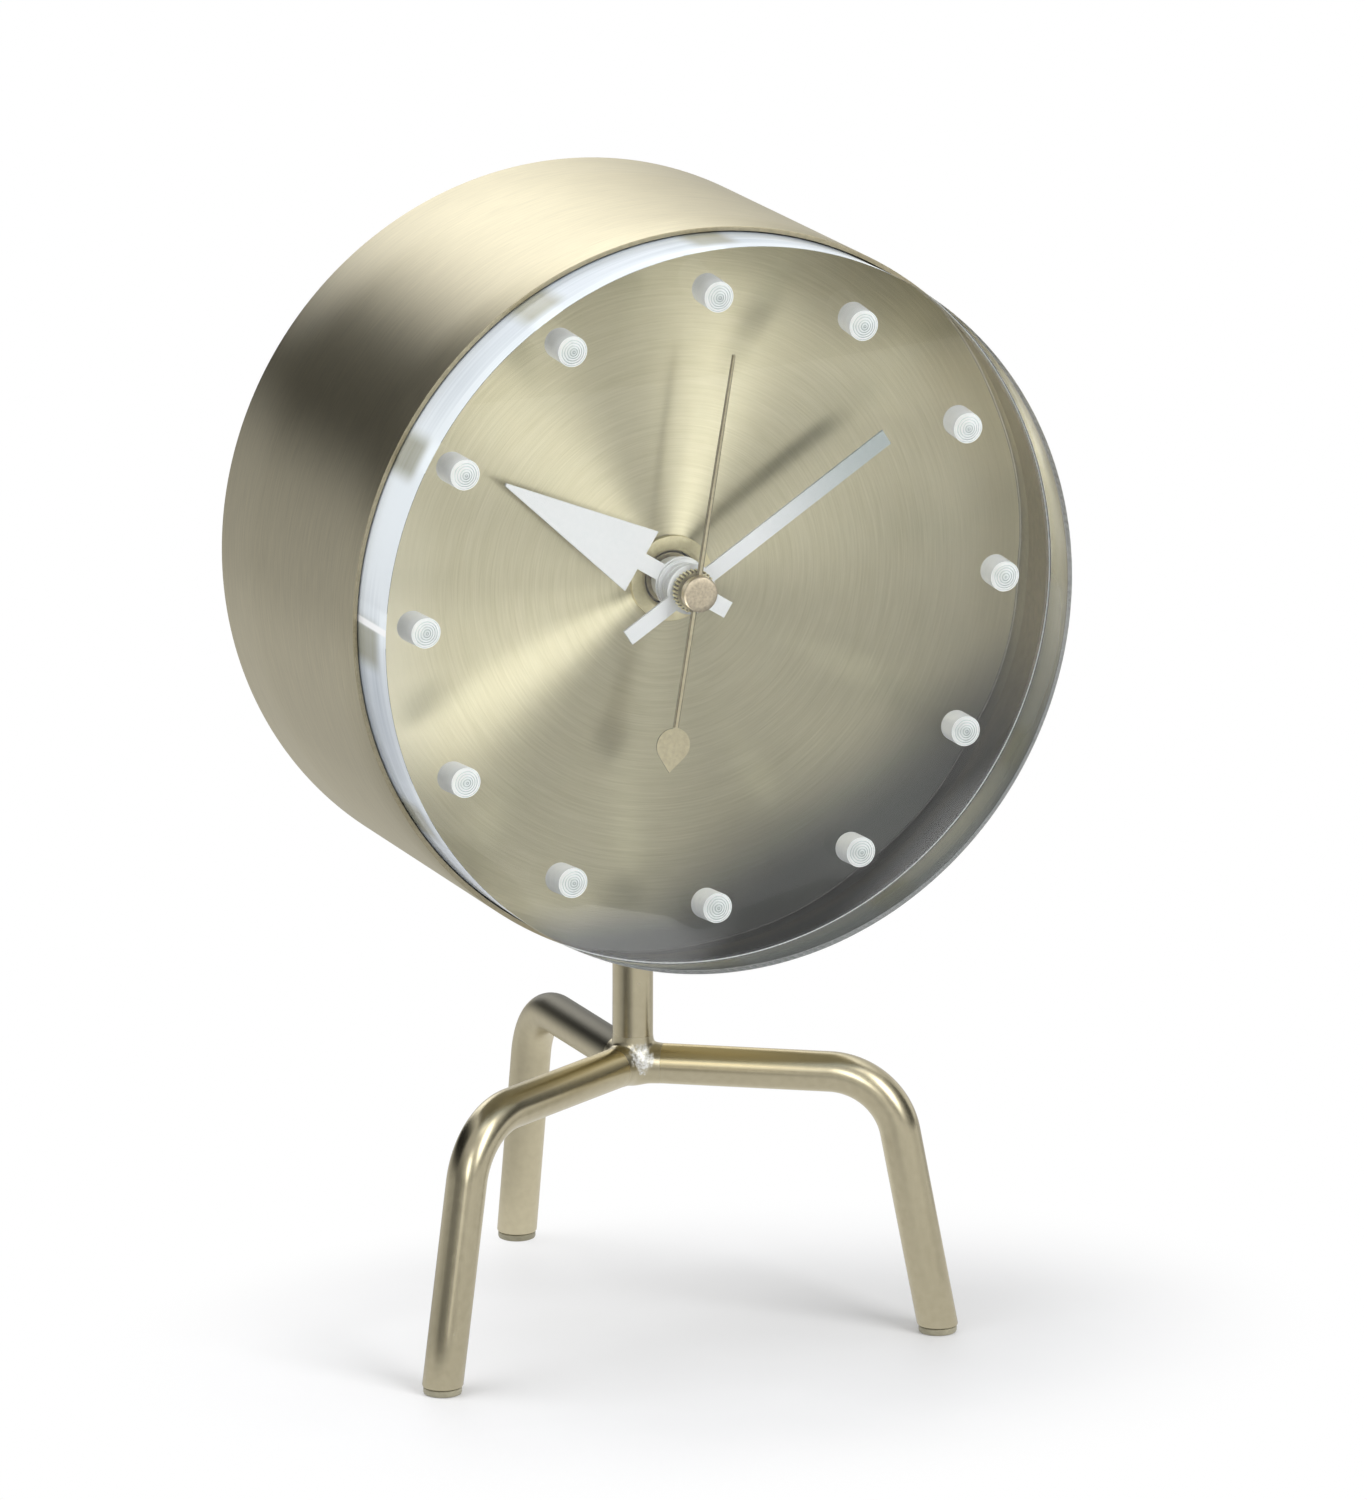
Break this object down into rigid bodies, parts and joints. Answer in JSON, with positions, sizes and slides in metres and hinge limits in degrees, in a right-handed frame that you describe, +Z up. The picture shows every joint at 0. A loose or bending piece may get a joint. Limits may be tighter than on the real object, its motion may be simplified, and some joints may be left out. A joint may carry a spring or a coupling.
{
  "type": "tripod table clock",
  "caption": "Table clock: a short brushed brass drum with a thick clear front disc and drilled hour marks, on a stem and a tripod of bent rods.",
  "frame": {"origin": "on the surface that the feet stand on, under the middle of the object's box", "axes": "+Z up; the dial faces -Y; +X is to the right of someone who reads the dial"},
  "size_m": [0.105, 0.0828, 0.165],
  "materials": {
    "drum_brass": "satin, brushed round the drum, clear-lacquered",
    "dial_brass": "spun-brushed in fine circles",
    "rod_brass": "satin, slightly heat-tinted near the hub",
    "hand_brass": "satin",
    "inner_brass": "plain, unpolished",
    "clear_acrylic": "clear, polished all over, with matte white drilled marks",
    "white_lacquer": "white lacquer, low gloss",
    "black_plastic": "moulded, fine texture",
    "grey_plastic": "moulded",
    "bright_steel": "bright",
    "cell_jacket": "plain printed-free sleeve",
    "weld_silver": "bare silver braze",
    "soft_clear": "milky, soft",
    "dark_rubber": "matte"
  },
  "bodies": {
    "case": {"battery_cell": "cell_jacket", "contact_negative": "bright_steel", "contact_positive": "bright_steel", "cover_lug_1": "inner_brass", "cover_lug_2": "inner_brass", "cover_lug_3": "inner_brass", "crystal": "clear_acrylic", "dial_nut": "hand_brass", "dial_plate": "dial_brass", "dial_retainer": "inner_brass", "dial_washer": "dark_rubber", "drum_shell": "drum_brass", "leg_left": "rod_brass", "leg_rear": "rod_brass", "leg_right": "rod_brass", "movement_base": "black_plastic", "movement_cover": "black_plastic", "movement_neck": "hand_brass", "pad_left": "soft_clear", "pad_rear": "soft_clear", "pad_right": "soft_clear", "rear_cover": "drum_brass", "spacer_sleeve": "inner_brass", "stem_nut": "bright_steel", "stem_post": "rod_brass", "stem_washer": "bright_steel", "weld_bead": "weld_silver"},
    "hour": {"hour_hand": "white_lacquer", "hour_tube": "hand_brass"},
    "minute": {"minute_hand": "white_lacquer", "minute_nut": "hand_brass", "minute_shaft": "bright_steel"},
    "second": {"second_hand": "hand_brass", "second_cap": "hand_brass", "second_pin": "bright_steel"},
    "knob": {"setting_knob": "grey_plastic"}
  },
  "joints": [
    {"name": "minute_turn", "type": "hinge", "parent": "case", "child": "minute", "pos_m": [0, -0.0141, 0.1125], "axis": [0, 1, 0], "continuous": true},
    {"name": "hour_turn", "type": "hinge", "parent": "case", "child": "hour", "pos_m": [0, -0.0141, 0.1125], "axis": [0, 1, 0], "continuous": true},
    {"name": "second_turn", "type": "hinge", "parent": "case", "child": "second", "pos_m": [0, -0.0141, 0.1125], "axis": [0, 1, 0], "continuous": true},
    {"name": "knob_turn", "type": "hinge", "parent": "case", "child": "knob", "pos_m": [0, 0.0048, 0.1255], "axis": [0, 1, 0], "continuous": true}
  ],
  "couplings": [
    {"joint": "hour_turn", "follows": "minute_turn", "ratio": 0.083333},
    {"joint": "knob_turn", "follows": "minute_turn", "ratio": -1}
  ]
}
